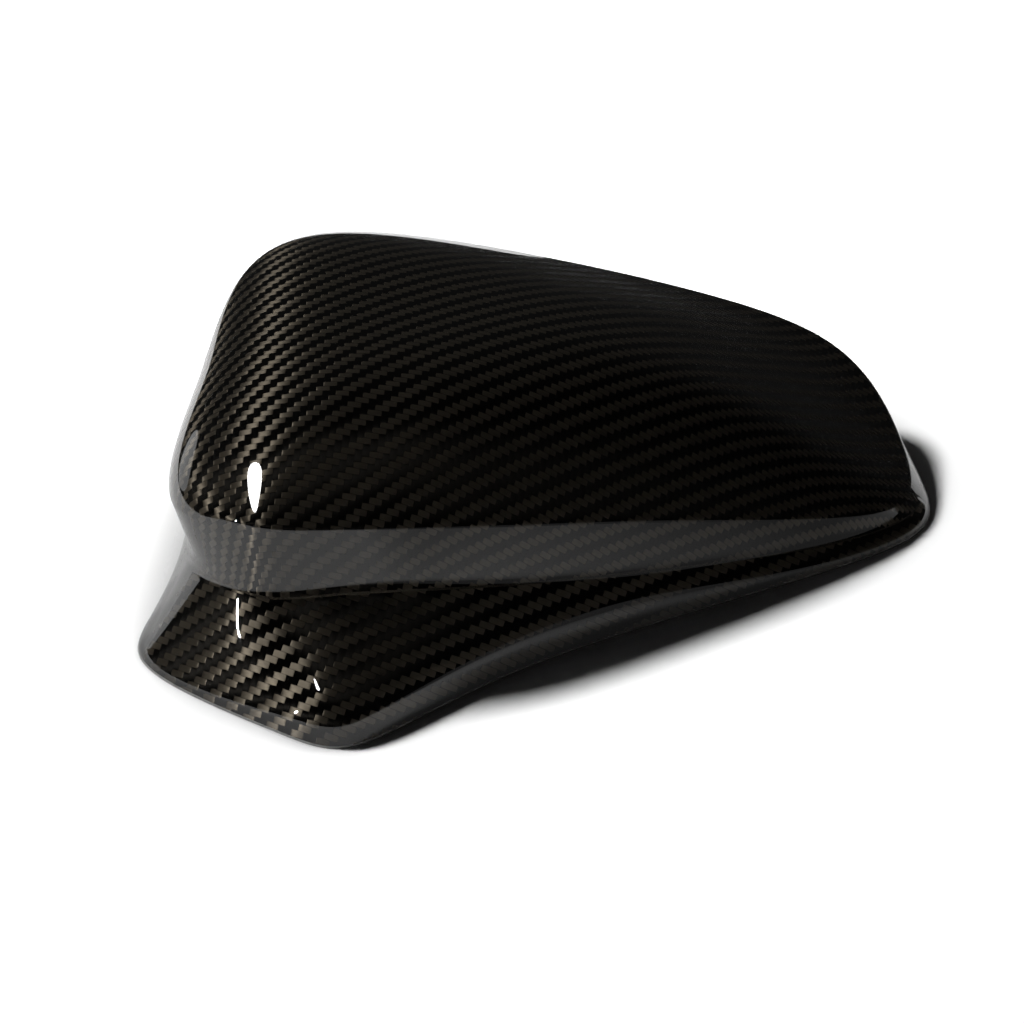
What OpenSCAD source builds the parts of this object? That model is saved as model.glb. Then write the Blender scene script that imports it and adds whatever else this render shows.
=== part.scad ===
// Wing mirror cover in moulded twill carbon, lying on its open rim.
// X runs from the inner end with the horn to the rounded outer end, Y from the
// mirror's lower edge to its upper edge, and Z from the rim up to the crown.

/* [Overall size] */

// Length along the mirror, from the inner corner to the outer end
cover_l = 255; // [215:1:290]
// Width across the mirror, from the horn's tip to the upper edge
cover_w = 186; // [160:1:210]
// Height of the crown line above the rim
cover_h = 79; // [64:1:92]

/* [Skin] */

// Thickness of the moulded skin
skin = 2; // [1.4:0.1:3]
// Radius where the lower flank turns down into the lip, along the blade
blade_r = 12; // [4:1:16]
// Radius in the groove under the dome's lower crease
groove_r = 3; // [1:0.5:5]
// How far the lip leans in for each millimetre that it rises
lip_draft = 0.18; // [0.02:0.02:0.3]

/* [Dome] */

// Distance of the highest point from the inner corner, along the length
crown_x = 62; // [30:1:85]
// Radius of the crown line as it falls to the outer end
crown_r = 430; // [300:10:700]
// Distance along the length from the inner corner to where the dome's curves meet
hub_x = 107; // [85:1:125]
// Distance across the width from the horn's tip to where the dome's curves meet
hub_y = 95; // [80:1:110]

/* [Latches] */

// Width of a latch tongue where it leaves its foot
latch_w = 14; // [9:1:20]
// Thickness of a latch tongue
latch_t = 2; // [1.5:0.1:3]
// Clear gap between a tongue and the skin
latch_gap = 5; // [3:0.5:8]
// Height of the latch feet above the rim
latch_h = 16; // [13:1:20]
// How far the barb stands out from the tongue
barb_d = 1.6; // [0.6:0.1:2.4]
// Height of the barb's slope
barb_h = 5; // [3:0.5:7]
// How far the tongues stay above the rim
latch_lift = 1; // [0.5:0.5:3]

/* [Detail] */

// Steps between two guide points round the cover
round_steps = 4; // [3:1:6]
// Steps from the lower crease up to the crown
dome_steps = 13; // [8:1:16]

/* [Hidden] */

carbon = "#26272a";

// Rim, anticlockwise seen from above, starting at the horn's tip: x and y.
rim_guide = [
    [35.5, -5], [60, 6], [100, 23.5], [150, 33.5], [205, 42], [247, 52],
    [254, 84], [250, 129], [213, 151], [156, 165], [92, 195], [55, 169],
    [33, 126], [22, 98], [-8, 73], [2.5, 44], [24, 12]];

// Lip height and the flank's rounding, as a share of blade_r, at each guide point.
lip_guide = [
    [11.5, 0.8], [11, 1], [11, 1], [8, 1], [3, 0.5], [2.5, 0.2],
    [3, 0.2], [3, 0.2], [4, 0.3], [5, 0.3], [5, 0.3], [5, 0.3],
    [4, 0.3], [3, 0.2], [2, 0.2], [2, 0.2], [6, 0.4]];

// Groove under the lower crease: x, y and z.
groove_guide = [
    [46, 32, 31], [66, 27, 31], [99, 31, 23.5], [150, 37.5, 15], [206, 45.5, 6], [244, 55, 5],
    [253, 84, 6], [250, 129, 13], [212, 150, 22], [155, 164, 29], [92, 194, 34], [55, 167, 34],
    [33, 125, 33], [21, 93, 30], [12.5, 64, 29], [20, 44, 32], [28, 36, 30]];

// Lower crease of the dome: x, y and z.
crease_guide = [
    [46, 34.5, 51], [69, 30, 49.5], [102, 32.5, 42], [150, 39, 31], [207, 46.5, 15], [240, 56, 8],
    [248.5, 84, 13], [248, 124, 30.5], [207.5, 145, 44], [154, 158.5, 60.5], [92, 187.5, 70], [57, 164, 69.5],
    [35, 122, 57.5], [13.5, 90, 45.5], [8.5, 66, 44], [21, 46.5, 52], [30, 37.5, 52]];

// Dome profile at each guide point: how long it stays high, and how it ends.
dome_guide = [
    [2.6, 1], [2.8, 1], [2.8, 1], [2.8, 1], [2.8, 1], [2.8, 1],
    [3, 1], [3, 1], [3.2, 1], [3.2, 1], [3.6, 1], [4, 0.85],
    [4, 0.6], [2.8, 0.5], [2.6, 0.5], [2.8, 0.8], [2.6, 1]];

// Latches stand at these places, counted in guide points along the rim.
latch_places = [1.5, 3.25, 6.5, 8.25, 9.5, 11.5];

// Cubic spline that runs smoothly round a closed list of guide points.
function weights(t) =
    [pow(1 - t, 3), 3 * pow(t, 3) - 6 * t * t + 4, -3 * pow(t, 3) + 3 * t * t + 3 * t + 1, pow(t, 3)] / 6;
function near(points, i, w) =
    let(n = len(points))
    w[0] * points[(i + n - 1) % n] + w[1] * points[i] + w[2] * points[(i + 1) % n] + w[3] * points[(i + 2) % n];
function ring(points) =
    [for (i = [0 : len(points) - 1], k = [0 : round_steps - 1]) near(points, i, weights(k / round_steps))];

// The guide points are drawn on a rim of their own size, under a crown this high,
// and are stretched from there to the cover's size.
drawn_h = 79;
drawn_rim = ring(rim_guide);
drawn_size = extent(drawn_rim);
fit = [cover_l / drawn_size[0], cover_w / drawn_size[1], cover_h / drawn_h];

function column(rows, n) = [for (p = rows) p[n]];
function extent(rows) = [for (n = [0, 1]) max(column(rows, n)) - min(column(rows, n))];
function stretch(p) = [p[0] * fit[0], p[1] * fit[1], p[2] * fit[2]];
function unit(v) = v / norm(v);

// The guide rows from the rim up to the lower crease.
rim_row = [for (p = drawn_rim) stretch([p[0], p[1], 0])];
columns = len(rim_row);
corner = [min(column(rim_row, 0)), min(column(rim_row, 1)), 0];
lip_values = ring(lip_guide);
dome_values = ring(dome_guide);
groove_row = ring([for (p = groove_guide) stretch(p)]);
crease_row = ring([for (p = crease_guide) stretch(p)]);
lip_row = [for (i = [0 : columns - 1])
    let(rise = lip_values[i][0] * fit[2], inward = flat_unit(groove_row[i] - rim_row[i]))
    rim_row[i] + inward * rise * lip_draft + [0, 0, rise]];
function flat_unit(v) = let(f = [v[0], v[1], 0]) norm(f) < 0.01 ? [0, 0, 0] : f / norm(f);

// The dome, as rows that shrink from the lower crease to the hub.
hub = corner + [hub_x, hub_y, 0];
function crown(x) = cover_h - pow(x - corner[0] - crown_x, 2) / (2 * crown_r);
function reach(j) = cos(90 * j / dome_steps);
function dome_point(i, rho) =
    let(edge = crease_row[i], bow = dome_values[i],
        x = hub[0] + (edge[0] - hub[0]) * rho,
        y = hub[1] + (edge[1] - hub[1]) * rho,
        share = pow(max(0, 1 - pow(rho, bow[0])), bow[1]))
    [x, y, edge[2] + (crown(x) - edge[2]) * share];
function dome_row(j) = [for (i = [0 : columns - 1]) dome_point(i, reach(j))];

guide_rows = concat([rim_row, lip_row, groove_row, crease_row],
    [for (j = [1 : dome_steps - 1]) dome_row(j)]);
rows = len(guide_rows);
peak = [hub[0], hub[1], crown(hub[0])];

// The frame's origin is under the middle of the rim.
middle = corner + [cover_l, cover_w, 0] / 2;

// Inside of the skin: every guide point moves in along both faces beside it.
function face_normal(a, b, i) =
    let(j = (i + 1) % columns, h = (i + columns - 1) % columns)
    unit(cross(a[j] + b[j] - a[h] - b[h], b[i] - a[i]));
function above(k) = k == rows - 1 ? [for (i = [0 : columns - 1]) peak] : guide_rows[k + 1];
function inner_point(k, i) =
    let(p = guide_rows[k][i],
        up = face_normal(guide_rows[k], above(k), i),
        down = k == 0 ? up : face_normal(guide_rows[k - 1], guide_rows[k], i),
        move = k == 0 ? flat_unit(up) : (up + down) / (1 + up * down))
    p - skin * move;
inner_rows = [for (k = [0 : rows - 1]) [for (i = [0 : columns - 1]) inner_point(k, i)]];
inner_peak = peak - [0, 0, skin];

// A guide row that is a corner becomes three rows that round it.
function toward(v, a, r) = v + (a - v) * min(r / norm(a - v), 0.42);
function rounded(list, k, radii) =
    let(low = [for (i = [0 : columns - 1]) toward(list[k][i], list[k - 1][i], radii[i])],
        high = [for (i = [0 : columns - 1]) toward(list[k][i], list[k + 1][i], radii[i])])
    [low, (low + 2 * list[k] + high) / 4, high];
lip_radii = [for (v = lip_values) v[1] * blade_r];
groove_radii = [for (v = lip_values) groove_r];
function skin_rows(list) = concat([list[0]], rounded(list, 1, lip_radii),
    rounded(list, 2, groove_radii), [for (k = [3 : rows - 1]) list[k]]);

outer_skin = skin_rows(guide_rows);
inner_skin = skin_rows(inner_rows);
levels = len(outer_skin);

// Faces between one level and the next, seen from outside.
function wall_faces(start) = [for (k = [0 : levels - 2], i = [0 : columns - 1])
    let(a = start + k * columns + i, b = start + k * columns + (i + 1) % columns)
    each [[a, a + columns, b + columns], [a, b + columns, b]]];
function top_faces(start, tip) = [for (i = [0 : columns - 1])
    [start + (levels - 1) * columns + i, tip, start + (levels - 1) * columns + (i + 1) % columns]];
function flip(faces) = [for (f = faces) [f[0], f[2], f[1]]];
function flat(list) = [for (level = list, p = level) p];

module shell() {
    inside = levels * columns;
    tips = 2 * inside;
    polyhedron(concat(flat(outer_skin), flat(inner_skin), [peak, inner_peak]), concat(
        wall_faces(0), top_faces(0, tips),
        flip(wall_faces(inside)), flip(top_faces(inside, tips + 1)),
        [for (i = [0 : columns - 1]) let(j = (i + 1) % columns)
            each [[i, j, inside + j], [i, inside + j, inside + i]]]));
}

// Everything inside the middle of the skin, closed across the rim.
module core() {
    halfway = (flat(outer_skin) + flat(inner_skin)) / 2;
    polyhedron(concat(halfway, [(peak + inner_peak) / 2]), concat(
        wall_faces(0), top_faces(0, levels * columns), [[for (i = [0 : columns - 1]) i]]));
}

// Where a latch stands: on the inside of the skin, at the height of its foot.
function rung(i) = [for (k = [1 : rows - 2])
    if (inner_rows[k][i][2] <= latch_h && inner_rows[k + 1][i][2] > latch_h) k][0];
function foot(i) =
    let(k = rung(i), a = inner_rows[k][i], b = inner_rows[k + 1][i])
    a + (b - a) * (latch_h - a[2]) / (b[2] - a[2]);
function heading(i) =
    let(run = foot((i + 1) % columns) - foot((i + columns - 1) % columns)) atan2(run[1], run[0]);

module latch() {
    far = latch_gap + latch_t;
    low = latch_lift - latch_h;
    sunk = skin * 0.5;
    // Foot, moulded onto the skin
    translate([-latch_w / 2, -sunk, 0]) cube([latch_w, far + sunk, latch_t]);
    // Two webs that brace the foot
    for (side = [-1, 1])
        translate([side * (latch_w - latch_t) / 2 - latch_t / 2, 0, 0]) hull() {
            translate([0, -sunk, 0]) cube([latch_t, 0.5, latch_gap + latch_t]);
            translate([0, latch_gap, 0]) cube([latch_t, latch_t, latch_t]);
        }
    // Tongue, narrower toward its free end
    hull() {
        translate([-latch_w / 2, latch_gap, 0]) cube([latch_w, latch_t, latch_t]);
        translate([-latch_w * 0.35, latch_gap, low]) cube([latch_w * 0.7, latch_t, 1]);
    }
    // Barb that snaps behind the mirror's frame
    hull() {
        translate([-latch_w * 0.35, latch_gap, low]) cube([latch_w * 0.7, latch_t, 0.5]);
        translate([-latch_w * 0.35, latch_gap - barb_d, low + barb_h * 0.7]) cube([latch_w * 0.7, latch_t, 0.5]);
        translate([-latch_w * 0.35, latch_gap, low + barb_h]) cube([latch_w * 0.7, latch_t, 0.5]);
    }
}

module latches() {
    for (place = latch_places) {
        i = round(place * round_steps);
        translate(foot(i)) rotate([0, 0, heading(i)]) latch();
    }
}

module cover() {
    color(carbon) translate(-middle) union() {
        shell();
        intersection() {
            latches();
            core();
        }
    }
}

cover();
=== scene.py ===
"""Wing mirror cover in lacquered twill carbon, standing on its rim on a white table.

The shell is one moulding. Its outer skin is drawn through guide curves that run round
the cover, at the rim, the lip, the groove and the lower crease, and then closes over the
dome. The inner skin follows it one thickness further in. Lengths in the classes are in
millimetres, and are turned into metres where a mesh or a light is made.
"""

import logging
import math
from dataclasses import dataclass, field
from enum import Enum

import bmesh
import bpy
from mathutils import Matrix, Vector
from mathutils.bvhtree import BVHTree


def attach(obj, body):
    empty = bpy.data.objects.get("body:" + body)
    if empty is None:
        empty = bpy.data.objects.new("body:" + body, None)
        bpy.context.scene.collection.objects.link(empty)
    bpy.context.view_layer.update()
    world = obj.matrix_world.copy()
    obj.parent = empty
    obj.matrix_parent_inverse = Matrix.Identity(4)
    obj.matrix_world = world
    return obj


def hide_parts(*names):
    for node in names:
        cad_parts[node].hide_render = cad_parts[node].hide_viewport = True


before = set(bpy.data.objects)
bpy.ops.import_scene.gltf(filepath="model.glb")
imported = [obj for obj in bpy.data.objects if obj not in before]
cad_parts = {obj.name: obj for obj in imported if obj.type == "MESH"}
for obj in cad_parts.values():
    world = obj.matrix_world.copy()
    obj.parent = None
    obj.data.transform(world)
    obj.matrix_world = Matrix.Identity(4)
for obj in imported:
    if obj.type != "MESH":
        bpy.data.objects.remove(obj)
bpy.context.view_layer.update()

LOG = logging.getLogger("mirror_cover")
MM = 0.001

Row = list[Vector]
Socket = bpy.types.NodeSocket


def linear(colour: str) -> tuple[float, float, float, float]:
    """Turns an sRGB hex colour into Blender's linear values.

    Args:
        colour: Six hex digits, such as "c8bea5".

    Returns:
        Red, green and blue between 0 and 1, and an alpha of 1.
    """
    shares = [int(colour[n:n + 2], 16) / 255 for n in (0, 2, 4)]
    values = [c / 12.92 if c <= 0.04045 else ((c + 0.055) / 1.055) ** 2.4 for c in shares]
    return (*values, 1.0)


def add(tree: bpy.types.NodeTree, kind: str, inputs: dict | None = None, **settings) -> bpy.types.Node:
    """Adds one node, with its settings, its values and its links.

    Args:
        tree: The material's or world's node tree.
        kind: The node's type, without the word ShaderNode.
        inputs: A socket or a value for each input, by the input's name or number.
        settings: Values of the node's own properties.

    Returns:
        The new node.
    """
    node = tree.nodes.new("ShaderNode" + kind)
    for name, value in settings.items():
        setattr(node, name, value)
    for key, value in (inputs or {}).items():
        if isinstance(value, Socket):
            tree.links.new(value, node.inputs[key])
        else:
            node.inputs[key].default_value = value
    return node


def sums(tree: bpy.types.NodeTree, operation: str, *values: float | Socket) -> Socket:
    """Adds a Math node and returns its result."""
    return add(tree, "Math", dict(enumerate(values)), operation=operation).outputs[0]


# Guide curves, in millimetres. Each is a closed smooth spline through the pull of these
# points, anticlockwise seen from above, from the horn's tip. They are the moulding's own.

RIM = [
    (35.5, -5), (60, 6), (100, 23.5), (150, 33.5), (205, 42), (247, 52),
    (254, 84), (250, 129), (213, 151), (156, 165), (92, 195), (55, 169),
    (33, 126), (22, 98), (-8, 73), (2.5, 44), (24, 12)]
LIP_RISE = [11.5, 11, 11, 8, 3, 2.5, 3, 3, 4, 5, 5, 5, 4, 3, 2, 2, 6]
LIP_ROUND = [0.8, 1, 1, 1, 0.5, 0.2, 0.2, 0.2, 0.3, 0.3, 0.3, 0.3, 0.3, 0.2, 0.2, 0.2, 0.4]
GROOVE = [
    (46, 32, 31), (66, 27, 31), (99, 31, 23.5), (150, 37.5, 15), (206, 45.5, 6), (244, 55, 5),
    (253, 84, 6), (250, 129, 13), (212, 150, 22), (155, 164, 29), (92, 194, 34), (55, 167, 34),
    (33, 125, 33), (21, 93, 30), (12.5, 64, 29), (20, 44, 32), (28, 36, 30)]
CREASE = [
    (46, 34.5, 51), (69, 30, 49.5), (102, 32.5, 42), (150, 39, 31), (207, 46.5, 15), (240, 56, 8),
    (248.5, 84, 13), (248, 124, 30.5), (207.5, 145, 44), (154, 158.5, 60.5), (92, 187.5, 70), (57, 164, 69.5),
    (35, 122, 57.5), (13.5, 90, 45.5), (8.5, 66, 44), (21, 46.5, 52), (30, 37.5, 52)]
BOW_HOLD = [2.6, 2.8, 2.8, 2.8, 2.8, 2.8, 3, 3, 3.2, 3.2, 3.6, 4, 4, 2.8, 2.6, 2.8, 2.6]
BOW_END = [1, 1, 1, 1, 1, 1, 1, 1, 1, 1, 1, 0.85, 0.6, 0.5, 0.5, 0.8, 1]

# Latches stand at these places, counted in guide points along the rim.
LATCH_PLACES = [1.5, 3.25, 6.5, 8.25, 9.5, 11.5]


def spline(points: list, steps: int) -> list[Vector]:
    """Samples the closed cubic spline of a list of guide points.

    Args:
        points: Guide values, each a number or a tuple of two or three.
        steps: How many samples lie between two guide points.

    Returns:
        Vectors of three numbers, where missing ones are zero.
    """
    full = [Vector((*(p if isinstance(p, tuple) else (p,)), 0, 0)[:3]) for p in points]
    count = len(full)
    row = []
    for place in range(count):
        for part in range(steps):
            t = part / steps
            pulls = ((1 - t) ** 3, 3 * t ** 3 - 6 * t * t + 4, -3 * t ** 3 + 3 * t * t + 3 * t + 1, t ** 3)
            near = (full[(place + offset) % count] for offset in (-1, 0, 1, 2))
            row.append(sum((p * w for p, w in zip(near, pulls)), Vector()) / 6)
    return row


def flat(v: Vector) -> Vector:
    """Returns a vector's direction in plan, or nothing where it points straight up."""
    level = Vector((v.x, v.y, 0))
    return level.normalized() if level.length > 0.01 else Vector()


def toward(corner: Vector, end: Vector, distance: float) -> Vector:
    """Returns the point this far from a corner toward the next one, at most 0.42 of the way."""
    way = end - corner
    return corner + way * min(distance / max(way.length, 1e-6), 0.42)


def between(low: Row, high: Row, share: float) -> Row:
    """Returns the row that lies at a share of the way from one row to another."""
    return [a.lerp(b, share) for a, b in zip(low, high)]


def rounded(low: Row, corner: Row, high: Row, steps: int) -> list[Row]:
    """Returns the rows of a rounding that leaves one face and meets the next smoothly."""
    rows = []
    for step in range(steps + 1):
        t = step / steps
        start, pull, end = (1 - t) ** 2, 2 * t * (1 - t), t * t
        rows.append([a * start + c * pull + b * end for a, c, b in zip(low, corner, high)])
    return rows


class Finish(Enum):
    """The three finishes of the moulding, in the order of its material slots."""

    LACQUERED = 0
    RAW = 1
    TRIMMED = 2


@dataclass(frozen=True)
class Twill:
    """Two by two twill of 3K carbon tows, as a pattern on the skin's cloth map.

    The cloth map holds millimetres along the warp and along the weft. Every tow passes
    over two and under two, one tow further on in each row, which makes the diagonals.
    """

    tow: float = 2.0
    wander: float = 0.25
    wander_size: float = 35.0
    shift: tuple[float, float] = (0.0, 0.0)

    def lay(self, tree: bpy.types.NodeTree) -> dict[str, Socket]:
        """Adds the nodes of the weave.

        Args:
            tree: The material's node tree.

        Returns:
            Sockets by name: "warp" is 1 where the warp is on top, "along" and "across"
            run from 0 to 1 over the float in view, "tow" numbers its tow, and "place" is
            the place on the cloth in tows.
        """
        cloth = add(tree, "UVMap", uv_map="cloth").outputs["UV"]
        sway = add(tree, "TexNoise", {"Vector": cloth, "Scale": 1 / self.wander_size, "Detail": 1.0})
        centred = add(tree, "VectorMath", {0: sway.outputs["Color"], 1: (0.5,) * 3}, operation="SUBTRACT")
        moved = add(tree, "VectorMath", {0: centred.outputs[0], 1: (4 * self.wander,) * 3, 2: cloth},
                    operation="MULTIPLY_ADD")
        tows = add(tree, "VectorMath", {0: moved.outputs[0], 1: (1 / self.tow,) * 3, 2: (*self.shift, 0.0)},
                   operation="MULTIPLY_ADD").outputs[0]
        place = add(tree, "SeparateXYZ", {0: tows})
        warpwise, weftwise = place.outputs[0], place.outputs[1]
        column, row = sums(tree, "FLOOR", warpwise), sums(tree, "FLOOR", weftwise)
        turn = sums(tree, "FLOORED_MODULO", sums(tree, "SUBTRACT", column, row), 4.0)
        warp = sums(tree, "LESS_THAN", turn, 1.5)
        in_column, in_row = sums(tree, "FRACT", warpwise), sums(tree, "FRACT", weftwise)
        along_warp = sums(tree, "ADD", turn, in_column)
        along_weft = sums(tree, "ADD", sums(tree, "SUBTRACT", 3.0, turn), in_row)
        along = add(tree, "Mix", {0: warp, 2: along_weft, 3: along_warp}).outputs[0]
        across = add(tree, "Mix", {0: warp, 2: in_column, 3: in_row}).outputs[0]
        number = add(tree, "Mix", {0: warp, 2: column, 3: sums(tree, "ADD", row, 500.0)}).outputs[0]
        return {"warp": warp, "along": sums(tree, "MULTIPLY", along, 0.5), "across": across,
                "tow": number, "place": tows}

    def crown(self, tree: bpy.types.NodeTree, share: Socket, power: float) -> Socket:
        """Adds the arch over a share from 0 to 1: 0 at both ends and 1 in the middle."""
        arch = sums(tree, "MULTIPLY", sums(tree, "MULTIPLY", share, sums(tree, "SUBTRACT", 1.0, share)), 4.0)
        return sums(tree, "POWER", arch, power)


@dataclass(frozen=True)
class LacqueredCarbon:
    """Twill carbon in epoxy under clear gloss lacquer, the skin's outside.

    The fibres reflect like fine combed wire: each float flashes or stays black as its
    own direction turns to the light. The lacquer over them is smooth and wet. The weft's
    colour is painted almost black and the warp's painted brighter, a painted shade and a
    painted light for how the lamps fall on each set of tows; two fields say how much of
    the fibre's colour each set of tows keeps.
    """

    weave: Twill = Twill()
    fibre: str = "3a352d"
    fibre_dark: str = "2a2722"
    edge: str = "3a3a3a"
    roughness: float = 0.45
    metallic: float = 0.7
    # Painted shade on the weft and painted light on the warp, as shares of the fibre's colour that stand in
    # for how the lamps fall on each set.
    weft_painted_shade: float = 0.07
    warp_painted_light: float = 1.6
    combed: float = 1.0
    lacquer_ior: float = 1.5
    lacquer_roughness: float = 0.012
    relief: float = 0.11
    gap_shade: float = 0.3
    streak_size: float = 1.2
    streak_along: float = 0.5
    streak_across: float = 9.0
    flow_scale: float = 0.06

    def build(self) -> bpy.types.Material:
        """Makes the material."""
        material = bpy.data.materials.new("carbon_twill_gloss_lacquer")
        material.use_nodes = True
        tree = material.node_tree
        tree.nodes.clear()
        cloth = self.weave.lay(tree)
        crown_across = self.weave.crown(tree, cloth["across"], 0.5)
        crown_along = self.weave.crown(tree, cloth["along"], 0.35)
        height = sums(tree, "MULTIPLY", crown_across, crown_along)
        spot = add(tree, "VectorMath", {0: cloth["place"], 1: (self.streak_size, self.streak_size, 1.0)},
                   operation="MULTIPLY").outputs[0]
        along, across = self.streak_along, self.streak_across
        warp_streaks = add(tree, "VectorMath", {0: spot, 1: (along, across, 1.0)}, operation="MULTIPLY")
        weft_streaks = add(tree, "VectorMath", {0: spot, 1: (across, along, 1.0)}, operation="MULTIPLY")
        streak_on = add(tree, "Mix", {0: cloth["warp"], 4: weft_streaks.outputs[0],
                                      5: warp_streaks.outputs[0]}, data_type="VECTOR")
        streaks = add(tree, "TexNoise", {"Vector": streak_on.outputs[1], "Scale": 1.0, "Detail": 2.0})
        tow_seed = add(tree, "TexWhiteNoise", {"W": cloth["tow"]}, noise_dimensions="1D")
        tow_tone = sums(tree, "MULTIPLY", tow_seed.outputs[0], 0.3)
        tone = sums(tree, "MULTIPLY_ADD", streaks.outputs[0], 0.7, tow_tone)
        tint = add(tree, "Mix", {0: tone, 6: linear(self.fibre_dark), 7: linear(self.fibre)},
                   data_type="RGBA")
        gap = add(tree, "MapRange", {0: height, 1: 0.1, 2: 0.55, 3: self.gap_shade, 4: 1.0},
                  interpolation_type="SMOOTHSTEP")
        # Painted light and shade: the warp's colour is raised and the weft's lowered for how the lamps fall
        # on each set of tows, then times the darker gaps between tows.
        shade = sums(tree, "MULTIPLY_ADD", cloth["warp"], self.warp_painted_light, self.weft_painted_shade)
        shade = sums(tree, "MULTIPLY", gap.outputs[0], shade)
        colour = add(tree, "VectorMath", {0: tint.outputs[2], 1: shade}, operation="MULTIPLY")
        turn = sums(tree, "MULTIPLY", cloth["warp"], 0.25)
        tangent = add(tree, "Tangent", direction_type="UV_MAP", uv_map="cloth")
        bump = add(tree, "Bump", {"Strength": 1.0, "Distance": self.relief * MM, "Height": height})
        flow = add(tree, "TexNoise", {"Vector": cloth["place"], "Scale": self.flow_scale, "Detail": 1.0})
        lacquer = add(tree, "Bump", {"Strength": 0.12, "Distance": 0.02 * MM, "Height": flow.outputs[0]})
        surface = add(tree, "BsdfPrincipled", {
            "Base Color": colour.outputs[0], "Metallic": self.metallic,
            "Roughness": self.roughness, "Specular Tint": linear(self.edge),
            "Anisotropic": self.combed, "Anisotropic Rotation": turn, "Tangent": tangent.outputs[0],
            "Normal": bump.outputs[0], "Coat Weight": 1.0, "Coat Roughness": self.lacquer_roughness,
            "Coat IOR": self.lacquer_ior, "Coat Normal": lacquer.outputs[0]})
        add(tree, "OutputMaterial", {"Surface": surface.outputs[0]})
        return material


@dataclass(frozen=True)
class RawCarbon:
    """The same twill as it leaves the mould on the bag side: matt resin, print of peel ply."""

    weave: Twill = Twill()
    resin: str = "1b1b1c"
    fibre: str = "3a3937"
    roughness: float = 0.55

    def build(self) -> bpy.types.Material:
        """Makes the material."""
        material = bpy.data.materials.new("carbon_twill_raw_inside")
        material.use_nodes = True
        tree = material.node_tree
        tree.nodes.clear()
        cloth = self.weave.lay(tree)
        height = sums(tree, "MULTIPLY", self.weave.crown(tree, cloth["across"], 0.5),
                      self.weave.crown(tree, cloth["along"], 0.35))
        grain = add(tree, "TexNoise", {"Vector": cloth["place"], "Scale": 3.0, "Detail": 4.0})
        mixed = sums(tree, "MULTIPLY_ADD", cloth["warp"], 0.35, sums(tree, "MULTIPLY", grain.outputs[0], 0.6))
        colour = add(tree, "Mix", {0: mixed, 6: linear(self.resin), 7: linear(self.fibre)}, data_type="RGBA")
        relief = sums(tree, "MULTIPLY_ADD", grain.outputs[0], 0.4, height)
        bump = add(tree, "Bump", {"Strength": 1.0, "Distance": 0.12 * MM, "Height": relief})
        rough = sums(tree, "MULTIPLY_ADD", grain.outputs[0], 0.2, self.roughness - 0.1)
        surface = add(tree, "BsdfPrincipled", {
            "Base Color": colour.outputs[2], "Roughness": rough, "Normal": bump.outputs[0]})
        add(tree, "OutputMaterial", {"Surface": surface.outputs[0]})
        return material


@dataclass(frozen=True)
class TrimmedCarbon:
    """The rim where the moulding was trimmed and sanded: bare, dusty grey and matt."""

    colour: str = "b4b4b2"
    dark: str = "8c8c8a"
    roughness: float = 0.6

    def build(self) -> bpy.types.Material:
        """Makes the material."""
        material = bpy.data.materials.new("carbon_trimmed_edge")
        material.use_nodes = True
        tree = material.node_tree
        tree.nodes.clear()
        place = add(tree, "TexCoord").outputs["Object"]
        dust = add(tree, "TexNoise", {"Vector": place, "Scale": 1 / (2.5 * MM), "Detail": 3.0})
        colour = add(tree, "Mix", {0: dust.outputs[0], 6: linear(self.dark), 7: linear(self.colour)},
                     data_type="RGBA")
        bump = add(tree, "Bump", {"Strength": 0.5, "Distance": 0.03 * MM, "Height": dust.outputs[0]})
        surface = add(tree, "BsdfPrincipled", {
            "Base Color": colour.outputs[2], "Roughness": self.roughness, "Normal": bump.outputs[0]})
        add(tree, "OutputMaterial", {"Surface": surface.outputs[0]})
        return material


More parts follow.
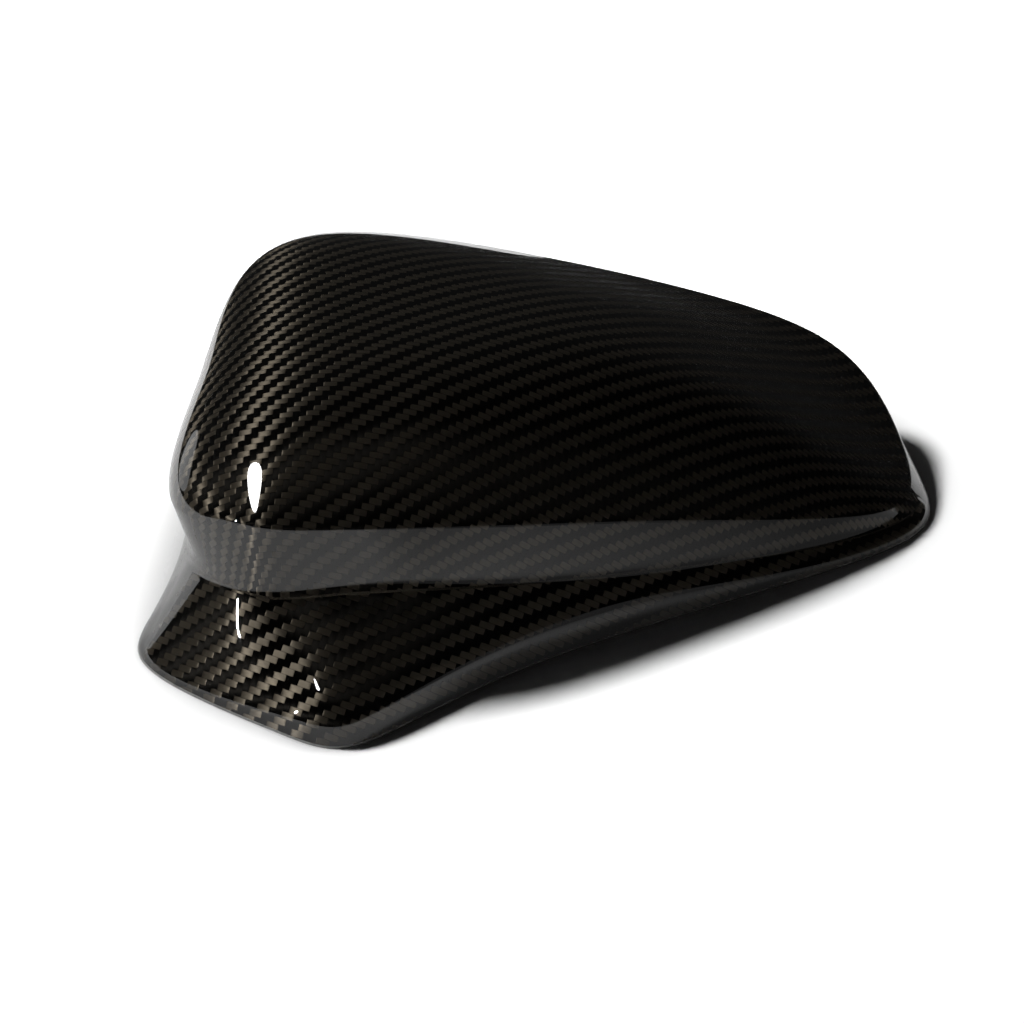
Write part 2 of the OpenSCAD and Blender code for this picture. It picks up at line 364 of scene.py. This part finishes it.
@dataclass
class Shell:
    """The moulded skin: dome, crease, groove, blade-like flank, horn and lip."""

    length: float = 255.0
    width: float = 186.0
    height: float = 78.99
    skin: float = 2.0
    blade_round: float = 12.0
    groove_round: float = 3.0
    crease_round: float = 0.8
    lip_draft: float = 0.18
    trim: float = 0.7
    crown_place: float = 62.0
    crown_round: float = 430.0
    hub_place: tuple[float, float] = (107.0, 95.0)
    warp_angle: float = -24.0
    flank_press: tuple[float, float, float] = (-0.4, -0.7, 0.58)
    flank_turn: float = -12.0
    flank_sheet: tuple[float, float] = (13.6, 5.4)
    round_steps: int = 16
    dome_steps: int = 34
    inner_dome_steps: int = 13
    holds: tuple[float, ...] = (0.015, 0.06, 0.16, 0.33, 0.5, 0.67, 0.84, 0.94, 0.985)

    def __post_init__(self) -> None:
        """Works out the guide rows at the cover's size."""
        rim = spline(RIM, self.round_steps)
        low = Vector((min(p.x for p in rim), min(p.y for p in rim), 0))
        high = Vector((max(p.x for p in rim), max(p.y for p in rim), 0))
        self.fit = Vector((self.length / (high.x - low.x), self.width / (high.y - low.y), 1.0))
        self.rim = [p * self.fit for p in rim]
        self.corner = low * self.fit
        self.middle = self.corner + Vector((self.length, self.width, 0)) / 2
        self.hub = self.corner + Vector((*self.hub_place, 0))
        self.groove = [p * self.fit for p in spline(GROOVE, self.round_steps)]
        self.crease = [p * self.fit for p in spline(CREASE, self.round_steps)]
        self.hold = [v.x for v in spline(BOW_HOLD, self.round_steps)]
        self.end = [v.x for v in spline(BOW_END, self.round_steps)]
        self.rise = [v.x for v in spline(LIP_RISE, self.round_steps)]
        self.softness = [v.x * self.blade_round for v in spline(LIP_ROUND, self.round_steps)]
        self.lip = [r + flat(g - r) * (up * self.lip_draft) + Vector((0, 0, up))
                    for r, g, up in zip(self.rim, self.groove, self.rise)]
        self.peak = Vector((self.hub.x, self.hub.y, self.crown(self.hub.x)))

    def crown(self, x: float) -> float:
        """Returns the height of the crown line at a place along the cover."""
        return self.height - (x - self.corner.x - self.crown_place) ** 2 / (2 * self.crown_round)

    def dome_point(self, column: int, reach: float) -> Vector:
        """Returns a point of the dome.

        Args:
            column: Which column of the guide rows it lies on.
            reach: 0 at the hub, 1 on the crease.
        """
        edge = self.crease[column]
        spot = self.hub.lerp(Vector((edge.x, edge.y, 0)), reach)
        share = max(0.0, 1 - reach ** self.hold[column]) ** self.end[column]
        return Vector((spot.x, spot.y, edge.z + (self.crown(spot.x) - edge.z) * share))

    def dome_row(self, part: float) -> Row:
        """Returns a row of the dome, where part runs from 0 at the crease to 1 at the hub."""
        return [self.dome_point(c, 1 - part ** (1 / self.end[c])) for c in range(len(self.rim))]

    def outer_rows(self) -> list[tuple[Row, Finish]]:
        """Returns the outer skin's rows from the rim to the hub, with the finish below each."""
        gloss = Finish.LACQUERED
        inset = 0.15
        foot = [p + flat(g - p) * inset for p, g in zip(self.rim, self.groove)]
        low_trim = [toward(r, l, 0.2) for r, l in zip(self.rim, self.lip)]
        high_trim = [toward(r, l, self.trim) for r, l in zip(self.rim, self.lip)]
        lip_low = [toward(v, r, s) for v, r, s in zip(self.lip, self.rim, self.softness)]
        lip_high = [toward(v, g, s) for v, g, s in zip(self.lip, self.groove, self.softness)]
        groove_low = [toward(v, l, self.groove_round) for v, l in zip(self.groove, self.lip)]
        groove_high = [toward(v, c, self.groove_round) for v, c in zip(self.groove, self.crease)]
        crease_low = [toward(v, g, self.crease_round) for v, g in zip(self.crease, self.groove)]
        dome = self.dome_row(0.012)
        rows = [(foot, Finish.TRIMMED), (low_trim, Finish.TRIMMED), (high_trim, Finish.TRIMMED)]
        rows += [(between(high_trim, lip_low, s), gloss) for s in (0.1, 0.5, 0.9)]
        rows += [(row, gloss) for row in rounded(lip_low, self.lip, lip_high, 10)]
        rows += [(between(lip_high, groove_low, s), gloss) for s in self.holds]
        self.waist = len(rows) + 4
        rows += [(row, gloss) for row in rounded(groove_low, self.groove, groove_high, 8)]
        rows += [(between(groove_high, crease_low, s), gloss) for s in self.holds]
        rows += [(row, gloss) for row in rounded(crease_low, self.crease, dome, 5)]
        for step in range(1, self.dome_steps):
            part = 0.012 + 0.975 * (step / self.dome_steps) ** 1.5
            rows.append((self.dome_row(part), gloss))
        return rows

    def inner_rows(self) -> list[Row]:
        """Returns the inner skin's rows from the rim to the hub, one thickness inside the outer ones."""
        count = len(self.rim)
        guides = [self.rim, self.lip, self.groove, self.crease]
        for step in range(1, self.inner_dome_steps):
            reach = math.cos(math.pi / 2 * step / self.inner_dome_steps)
            guides.append([self.dome_point(c, reach) for c in range(count)])
        top = [self.peak] * count

        def normal(a: Row, b: Row, c: int) -> Vector:
            """Returns the normal of the face between two rows at a column."""
            right, left = (c + 1) % count, c - 1
            return (a[right] + b[right] - a[left] - b[left]).cross(b[c] - a[c]).normalized()

        rows = []
        for level, row in enumerate(guides):
            above = guides[level + 1] if level + 1 < len(guides) else top
            moved = []
            for c in range(count):
                up = normal(row, above, c)
                down = normal(guides[level - 1], row, c) if level else up
                step = (up + down) / (1 + up.dot(down)) if level else flat(up)
                moved.append(row[c] - step * self.skin)
            rows.append(moved)
        rim, lip, groove, crease = rows[:4]
        lip_low = [toward(v, r, s) for v, r, s in zip(lip, rim, self.softness)]
        lip_high = [toward(v, g, s) for v, g, s in zip(lip, groove, self.softness)]
        groove_low = [toward(v, l, self.groove_round) for v, l in zip(groove, lip)]
        groove_high = [toward(v, c, self.groove_round) for v, c in zip(groove, crease)]
        full = [rim] + rounded(lip_low, lip, lip_high, 4)
        full += [between(lip_high, groove_low, s) for s in (0.2, 0.5, 0.8)]
        full += rounded(groove_low, groove, groove_high, 4)
        full += [between(groove_high, crease, s) for s in (0.3, 0.7, 0.97)]
        return full + rows[3:]

    def cloth_map(self, rows: list[Row], tip: Vector) -> list[list[tuple[float, float]]]:
        """Unrolls the cloth from the hub down every column, in millimetres along warp and weft.

        The part of a step that follows the contour keeps its direction in plan. The part
        that falls keeps its full length on the skin, so the cloth is never squeezed.

        Args:
            rows: Rows from the rim to the hub.
            tip: The hub's own point.

        Returns:
            Warp and weft places for each point of each row, in the rows' order.
        """
        turn = Matrix.Rotation(-math.radians(self.warp_angle), 3, "Z")
        count = len(self.rim)
        places: list[list[Vector]] = []
        last_row, last_place = [tip] * count, [Vector((tip.x, tip.y, 0)) - self.middle] * count
        for row in reversed(rows):
            placed = []
            for c in range(count):
                step = row[c] - last_row[c]
                side = row[(c + 1) % count] - row[c - 1]
                normal = step.cross(side).normalized()
                fall = flat(normal)
                contour = Vector((-fall.y, fall.x, 0))
                if fall.length < 0.5 or step.length < 1e-6:
                    placed.append(last_place[c] + Vector((step.x, step.y, 0)))
                    continue
                down = contour.cross(normal)
                placed.append(last_place[c] + contour * step.dot(contour) + fall * step.dot(down))
            places.append(placed)
            last_row, last_place = row, placed
        return [[tuple((turn @ p)[:2]) for p in placed] for placed in reversed(places)]

    def lay_flank(self, rows: list[Row], cloth: list[list[tuple[float, float]]]) -> None:
        """Lays a second, flat sheet of cloth over the front flank, joined to the first in the groove.

        Args:
            rows: The outer skin's rows from the rim up to the groove.
            cloth: The cloth's places in the same rows, which are changed.
        """
        press = Vector(self.flank_press).normalized()
        level = Vector((0, 0, 1)).cross(press).normalized()
        turn = Matrix.Rotation(math.radians(self.flank_turn), 3, press)
        along, across = turn @ level, turn @ press.cross(level)
        first, last = (round(place * self.round_steps) for place in self.flank_sheet)
        for row, places in zip(rows, cloth):
            for column in [*range(first, len(row)), *range(last)]:
                spot = row[column] - self.middle
                places[column] = (spot.dot(along), spot.dot(across))

    def build(self) -> bpy.types.Object:
        """Draws the closed shell ring by ring, from the inner hub down to the rim and up again.

        Returns:
            The finished piece, with its cloth map and its three finishes.
        """
        bm = bmesh.new()
        cloth_of: dict[bmesh.types.BMVert, tuple[float, float]] = {}
        inner = self.inner_rows()
        outer = self.outer_rows()
        self.inner_guides = inner
        inner_cloth = self.cloth_map(inner, self.peak - Vector((0, 0, self.skin)))
        outer_cloth = self.cloth_map([row for row, _ in outer], self.peak)
        self.lay_flank([row for row, _ in outer[:self.waist]], outer_cloth)
        hub_cloth = (Matrix.Rotation(-math.radians(self.warp_angle), 3, "Z") @ (self.hub - self.middle))[:2]
        chain = [(row, cloth, Finish.RAW) for row, cloth in zip(reversed(inner), reversed(inner_cloth))]
        chain += [(row, cloth, finish) for (row, finish), cloth in zip(outer, outer_cloth)]

        ring = bmesh.ops.create_circle(bm, segments=len(self.rim), radius=1)["verts"]
        edges = list(bm.edges)
        self.place(ring, chain[0][0], chain[0][1], cloth_of)
        self.close(bm, edges, self.peak - Vector((0, 0, self.skin)), hub_cloth, Finish.RAW, cloth_of)
        for row, cloth, finish in chain[1:]:
            made = bmesh.ops.extrude_edge_only(bm, edges=edges)["geom"]
            fresh = {g for g in made if isinstance(g, bmesh.types.BMVert)}
            edges = [g for g in made if isinstance(g, bmesh.types.BMEdge) and set(g.verts) <= fresh]
            ring = [next(e.other_vert(v) for e in v.link_edges if e.other_vert(v) in fresh) for v in ring]
            for g in made:
                if isinstance(g, bmesh.types.BMFace):
                    g.material_index = finish.value
            self.place(ring, row, cloth, cloth_of)
        self.close(bm, edges, self.peak, hub_cloth, Finish.LACQUERED, cloth_of)
        bmesh.ops.recalc_face_normals(bm, faces=bm.faces)
        layer = bm.loops.layers.uv.new("cloth")
        for face in bm.faces:
            face.smooth = True
            for loop in face.loops:
                loop[layer].uv = cloth_of[loop.vert]
        self.skin_tree = BVHTree.FromBMesh(bm)
        return piece("cover_shell", bm, self.finishes())

    def latch_seat(self, place: float, height: float) -> Matrix:
        """Finds where a latch stands on the inside of the skin.

        Args:
            place: The latch's place along the rim, in guide points.
            height: Millimetres above the rim.

        Returns:
            The seat in the part's frame, in millimetres: X runs along the rim, Y points
            into the cover and Z points up.
        """
        column = round(place * self.round_steps)
        reach = round(self.round_steps / 4)
        before, here, after = (self.inside_at(column + n, height) for n in (-reach, 0, reach))
        run = (after - before).normalized()
        inward = Vector((-run.y, run.x, 0))
        return Matrix.Translation(here - self.middle) @ Matrix((run, inward, (0, 0, 1))).transposed().to_4x4()

    def inside_at(self, column: int, height: float) -> Vector:
        """Returns the point of the inner skin at this height in one column."""
        spots = [row[column % len(row)] for row in self.inner_guides]
        low, high = next((a, b) for a, b in zip(spots, spots[1:]) if a.z <= height < b.z)
        return low.lerp(high, (height - low.z) / (high.z - low.z))

    def place(self, ring: list, row: Row, cloth: list, cloth_of: dict) -> None:
        """Moves a ring's points to their row and notes their place on the cloth."""
        for vert, point, spot in zip(ring, row, cloth):
            vert.co = (point - self.middle) * MM
            cloth_of[vert] = spot

    def close(self, bm: bmesh.types.BMesh, edges: list, tip: Vector, spot: tuple, finish: Finish,
              cloth_of: dict) -> None:
        """Closes the last small ring with a fan of faces that meet at the hub."""
        face = bmesh.ops.contextual_create(bm, geom=edges)["faces"]
        fan = bmesh.ops.poke(bm, faces=face)
        centre = fan["verts"][0]
        centre.co = (tip - self.middle) * MM
        cloth_of[centre] = spot
        for part in fan["faces"]:
            part.material_index = finish.value

    def finishes(self) -> list[bpy.types.Material]:
        """Makes the shell's materials, in the order of Finish."""
        return [LacqueredCarbon().build(), RawCarbon().build(), TrimmedCarbon().build()]


@dataclass
class Latch:
    """Snap latch moulded onto the inside: foot, two webs, and a tongue with a barb."""

    width: float = 14.0
    thick: float = 2.0
    gap: float = 5.0
    foot_height: float = 16.0
    barb_out: float = 1.6
    barb_height: float = 5.0
    lift: float = 1.0
    taper: float = 0.7
    soften: float = 0.25
    sunk: float = 1.0

    def build(self, name: str, shell: Shell, place: float,
              finish: bpy.types.Material) -> bpy.types.Object:
        """Draws the latch's side profile, widens it, raises its webs and seats it on the skin.

        Args:
            name: The piece's name.
            shell: The skin that it stands on.
            place: Its place along the rim, in guide points.
            finish: The unlacquered carbon of the shell's inside.

        Returns:
            The finished latch.
        """
        bm = bmesh.new()
        far, low, half = self.gap + self.thick, self.lift - self.foot_height, self.width / 2
        tip = self.gap - self.barb_out
        barb = self.barb_height
        profile = [
            (-self.sunk, 0), (self.gap, 0), (self.gap, low + barb), (tip, low + barb * 0.7),
            (tip, low + barb * 0.6), (self.gap, low), (far, low), (far, 0), (far, self.thick),
            (-self.sunk, self.thick)]
        verts = [bm.verts.new((-half, y, z)) for y, z in profile]
        strip = [bmesh.ops.contextual_create(bm, geom=verts)["faces"][0]]
        for width in (self.thick, self.width - 2 * self.thick, self.thick):
            made = bmesh.ops.extrude_face_region(bm, geom=strip)["geom"]
            moved = [g for g in made if isinstance(g, bmesh.types.BMVert)]
            bmesh.ops.translate(bm, verts=moved, vec=(width, 0, 0))
            bmesh.ops.delete(bm, geom=strip, context="FACES_ONLY")
            strip = [g for g in made if isinstance(g, bmesh.types.BMFace)]
        bmesh.ops.contextual_create(bm, geom=[v for v in bm.verts if v.co.x < 0.01 - half])
        self.raise_webs(bm, half)
        for vert in bm.verts:
            if vert.co.z < 0:
                fall = min(1.0, vert.co.z / (low + 1))
                vert.co.x *= 1 - (1 - self.taper) * fall
        bmesh.ops.recalc_face_normals(bm, faces=bm.faces)
        sharp = [e for e in bm.edges if e.calc_face_angle(0) > 0.5]
        bmesh.ops.bevel(bm, geom=sharp, offset=self.soften, offset_type="OFFSET", segments=2, affect="EDGES",
                        profile=0.5, material=-1, clamp_overlap=True)
        self.lay_cloth(bm)
        self.seat(bm, shell, shell.latch_seat(place, self.foot_height))
        return piece(name, bm, [finish])

    def raise_webs(self, bm: bmesh.types.BMesh, half: float) -> None:
        """Raises a web from each end of the foot, high at the skin and low at the tongue."""
        bm.faces.ensure_lookup_table()
        tops = [f for f in bm.faces if f.calc_center_median().z > self.thick - 0.01
                and abs(f.calc_center_median().x) > half - self.thick]
        for top in tops:
            made = bmesh.ops.extrude_face_region(bm, geom=[top])["geom"]
            for vert in (g for g in made if isinstance(g, bmesh.types.BMVert)):
                near = vert.co.y < self.gap
                vert.co.z = self.gap + self.thick if near else self.thick + 0.4
            bmesh.ops.delete(bm, geom=[top], context="FACES_ONLY")

    def lay_cloth(self, bm: bmesh.types.BMesh) -> None:
        """Maps the cloth straight onto each face, in millimetres."""
        layer = bm.loops.layers.uv.new("cloth")
        for face in bm.faces:
            axis = max(range(3), key=lambda n: abs(face.normal[n]))
            for loop in face.loops:
                loop[layer].uv = [loop.vert.co[n] for n in range(3) if n != axis]

    def seat(self, bm: bmesh.types.BMesh, shell: Shell, seat: Matrix) -> None:
        """Moves the latch to its seat, with its root drawn into the skin wherever that leans."""
        roots = [v for v in bm.verts if v.co.y < 0]
        bm.transform(seat)
        outward = -(seat.to_3x3() @ Vector((0, 1, 0)))
        for vert in roots:
            start = vert.co - outward * (self.sunk + self.gap)
            hit = shell.skin_tree.ray_cast(start * MM, outward)[0]
            if hit:
                vert.co = hit / MM + outward * self.sunk
        bm.transform(Matrix.Scale(MM, 4))


def piece(name: str, bm: bmesh.types.BMesh, materials: list[bpy.types.Material]) -> bpy.types.Object:
    """Turns a bmesh into a piece of the cover.

    Args:
        name: The piece's name.
        bm: Its mesh in metres, in the part's frame. It is freed here.
        materials: Its materials, in the order of its material slots.

    Returns:
        The object, linked into the scene.
    """
    mesh = bpy.data.meshes.new(name)
    bm.to_mesh(mesh)
    bm.free()
    for material in materials:
        mesh.materials.append(material)
    made = bpy.data.objects.new(name, mesh)
    bpy.context.scene.collection.objects.link(made)
    return made


class Lights(Enum):
    """Which surfaces a lamp reaches: the glossy lacquer and fibres, or the matt table."""

    GLOSS = 0
    MATT = 1


@dataclass
class Studio:
    """White table, dark room, soft lights on the left and behind, and the camera.

    table_key lights the table and casts the shadow. strip_key gives the tall highlight on
    the dome, left_low the one on the horn, and the two dim sweeps the pale walls that the
    cover's ends reflect.

    To the camera the table is as bright as seen says, with a painted shadow within foot of the
    cover. To the lacquer it is as bright as mirrored says, with painted shade within contact of
    the cover and a painted shadow, as deep as the share dim, in front of the right end, plus a
    little painted glow that stands in for stray light.
    """

    table: tuple[float, float] = (5000.0, 2600.0)
    table_back: float = 430.0
    table_white: str = "eeeeee"
    seen: float = 2.2
    mirrored: float = 1.5
    # The next six fields set the painted glow, the painted shade and the painted shadow on the table.
    stray: float = 0.2
    contact: float = 70.0
    foot: float = 30.0
    dim: float = 0.93
    dim_right: tuple[float, float] = (17.0, 122.0)
    dim_front: tuple[float, float] = (-30.0, 40.0)
    target: Vector = field(default_factory=lambda: Vector((-25.0, -60.7, 47.0)))
    azimuth: float = -20.0
    elevation: float = 30.0
    distance: float = 1300.0
    lens: float = 160.0
    far_wall: tuple[float, float, float] = (0.24, 0.9, 0.36)
    wall_spread: tuple[float, float] = (0.35, 0.97)
    room_glow: float = 0.005
    wall_glow: float = 0.02

    def build(self) -> None:
        """Makes the table, the room, the lights and the camera."""
        self.make_table()
        self.make_room()
        gloss, matt = Lights.GLOSS, Lights.MATT
        self.make_light("table_key", Vector((-0.49, 0.42, 0.76)), 1400.0, (300.0, 300.0), 73.0, matt)
        self.make_light("strip_key", Vector((-0.525, 0.165, 0.835)), 1400.0, (560.0, 210.0), 52.0, gloss)
        self.make_light("left_low", Vector((-0.97, -0.02, 0.23)), 1500.0, (12.0, 90.0), 5600.0, gloss)
        self.make_light("left_sweep", Vector((-0.57, 0.81, 0.13)), 1500.0, (760.0, 520.0), 1.3, gloss)
        self.make_light("right_sweep", Vector((0.866, 0.5, 0.0)), 1500.0, (500.0, 110.0), 1.2, gloss)
        self.make_camera()

    def make_table(self) -> None:
        """Makes the white table, square to the camera, which the camera sees as plain white.

        It ends a little way behind the cover, and the lacquer reflects the dark room beyond.
        Its colour holds painted shade close to the cover, for the camera and for the lacquer, and
        for the lacquer a painted shadow in front of the cover's right end and a little painted glow.
        """
        bm = bmesh.new()
        bmesh.ops.create_grid(bm, x_segments=1, y_segments=1, size=0.5)
        bmesh.ops.scale(bm, verts=bm.verts, vec=(self.table[0], self.table[1], 1))
        bmesh.ops.translate(bm, verts=bm.verts, vec=(0, self.table_back - self.table[1] / 2, -0.05))
        bm.transform(Matrix.Rotation(math.radians(self.azimuth), 4, "Z"))
        bm.transform(Matrix.Scale(MM, 4))
        material = bpy.data.materials.new("white_table")
        material.use_nodes = True
        tree = material.node_tree
        tree.nodes.clear()
        path = add(tree, "LightPath")
        turn = math.radians(self.azimuth)
        place = add(tree, "TexCoord").outputs["Object"]
        right = add(tree, "VectorMath", {0: place, 1: (math.cos(turn), math.sin(turn), 0)},
                    operation="DOT_PRODUCT").outputs["Value"]
        depth = add(tree, "VectorMath", {0: place, 1: (-math.sin(turn), math.cos(turn), 0)},
                    operation="DOT_PRODUCT").outputs["Value"]
        # Painted shadow for the lacquer: a wedge in front of the cover's right end, darkest toward the right
        # and the front.
        (left_end, right_end), (front_end, back_end) = self.dim_right, self.dim_front
        far_right = add(tree, "MapRange", {
            0: right, 1: left_end * MM, 2: right_end * MM, 3: 0.0, 4: self.dim})
        front = add(tree, "MapRange", {0: depth, 1: front_end * MM, 2: back_end * MM, 3: 1.0, 4: 0.0})
        dim = sums(tree, "MULTIPLY", far_right.outputs[0], front.outputs[0])
        # Painted shade near the cover: ambient occlusion darkens the table's colour within contact for the
        # lacquer and within foot for the camera.
        near = add(tree, "AmbientOcclusion", {"Distance": self.contact * MM}, samples=8)
        foot = add(tree, "AmbientOcclusion", {"Distance": self.foot * MM}, samples=8)
        bright = sums(tree, "MULTIPLY", sums(tree, "POWER", foot.outputs["AO"], 2.2), self.seen)
        close = sums(tree, "POWER", near.outputs["AO"], 2.0)
        mirrored_with_painted_shade = sums(tree, "MULTIPLY", sums(tree, "SUBTRACT", 1.0, dim),
                   sums(tree, "MULTIPLY", close, self.mirrored))
        glossy = add(tree, "Mix", {0: path.outputs["Is Glossy Ray"], 6: linear(self.table_white), 7: mirrored_with_painted_shade},
                     data_type="RGBA")
        paint = add(tree, "Mix", {0: path.outputs["Is Camera Ray"], 6: glossy.outputs[2], 7: bright},
                    data_type="RGBA")
        matt = add(tree, "BsdfDiffuse", {"Color": paint.outputs[2]})
        # Painted glow: a little emission that the lacquer sees on the table, standing in for stray light,
        # fainter near the cover.
        stray = sums(tree, "MULTIPLY", path.outputs["Is Glossy Ray"],
                     sums(tree, "MULTIPLY", near.outputs["AO"], self.stray))
        glow = add(tree, "Emission", {"Color": (1, 1, 1, 1), "Strength": stray})
        both = add(tree, "AddShader", {0: matt.outputs[0], 1: glow.outputs[0]})
        add(tree, "OutputMaterial", {"Surface": both.outputs[0]})
        piece("table", bm, [material])

    def make_room(self) -> None:
        """Makes the dark room with its paler far wall, which the camera sees as plain white."""
        world = bpy.data.worlds.new("dark_room")
        bpy.context.scene.world = world
        world.use_nodes = True
        tree = world.node_tree
        tree.nodes.clear()
        path = add(tree, "LightPath")
        way = add(tree, "TexCoord").outputs["Generated"]
        facing = add(tree, "VectorMath", {0: way, 1: self.far_wall}, operation="DOT_PRODUCT")
        start, full = self.wall_spread
        wall = add(tree, "MapRange", {0: facing.outputs["Value"], 1: start, 2: full,
                                      3: self.room_glow, 4: self.wall_glow},
                   interpolation_type="SMOOTHSTEP")
        dark = add(tree, "Background", {"Color": (1, 1, 1, 1), "Strength": wall.outputs[0]})
        white = add(tree, "Background", {"Color": (1, 1, 1, 1), "Strength": 1.0})
        seen = add(tree, "MixShader", {
            0: path.outputs["Is Camera Ray"], 1: dark.outputs[0], 2: white.outputs[0]})
        add(tree, "OutputWorld", {"Surface": seen.outputs[0]})

    def make_light(self, name: str, way: Vector, distance: float, size: tuple[float, float],
                   brightness: float, lights: Lights) -> None:
        """Makes a flat soft light that faces the cover.

        Args:
            name: The light's name.
            way: Direction from the cover to the light.
            distance: Millimetres from the target to the light.
            size: Width and height in millimetres; the height stands upright.
            brightness: Radiance of its face, where 1 is plain white.
            lights: Which surfaces it reaches.
        """
        lamp = bpy.data.lights.new(name, "AREA")
        lamp.shape = "ELLIPSE"
        lamp.size, lamp.size_y = size[0] * MM, size[1] * MM
        lamp.energy = brightness * math.pi * lamp.size * lamp.size_y * math.pi / 4
        holder = bpy.data.objects.new(name, lamp)
        holder.visible_diffuse = lights is Lights.MATT
        holder.visible_glossy = lights is Lights.GLOSS
        way = way.normalized()
        turn = way.to_track_quat("Z", "Y").to_matrix().to_4x4()
        holder.matrix_world = Matrix.Translation((self.target + way * distance) * MM) @ turn
        bpy.context.scene.collection.objects.link(holder)

    def make_camera(self) -> None:
        """Makes the camera at the photograph's viewing angle."""
        turn, lift = math.radians(self.azimuth), math.radians(self.elevation)
        back = Vector((math.sin(turn) * math.cos(lift), -math.cos(turn) * math.cos(lift), math.sin(lift)))
        view = bpy.data.cameras.new("camera")
        view.lens = self.lens
        holder = bpy.data.objects.new("camera", view)
        spot = self.target + back * self.distance
        turned = back.to_track_quat("Z", "Y").to_matrix().to_4x4()
        holder.matrix_world = Matrix.Translation(spot * MM) @ turned
        bpy.context.scene.collection.objects.link(holder)
        bpy.context.scene.camera = holder


def main() -> None:
    """Builds the cover and its studio, and reports each piece."""
    logging.basicConfig(level=logging.INFO)
    bpy.context.scene.view_settings.view_transform = "Standard"
    shell = Shell()
    made = [shell.build()]
    inside = made[0].data.materials[Finish.RAW.value]
    for number, place in enumerate(LATCH_PLACES, start=1):
        made.append(Latch().build(f"latch_{number}", shell, place, inside))
    for item in made:
        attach(item, "root")
        LOG.info("%s: %d faces", item.name, len(item.data.polygons))
    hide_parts("cover")
    Studio().build()
    LOG.info("studio built")


if __name__ == "__main__":
    main()
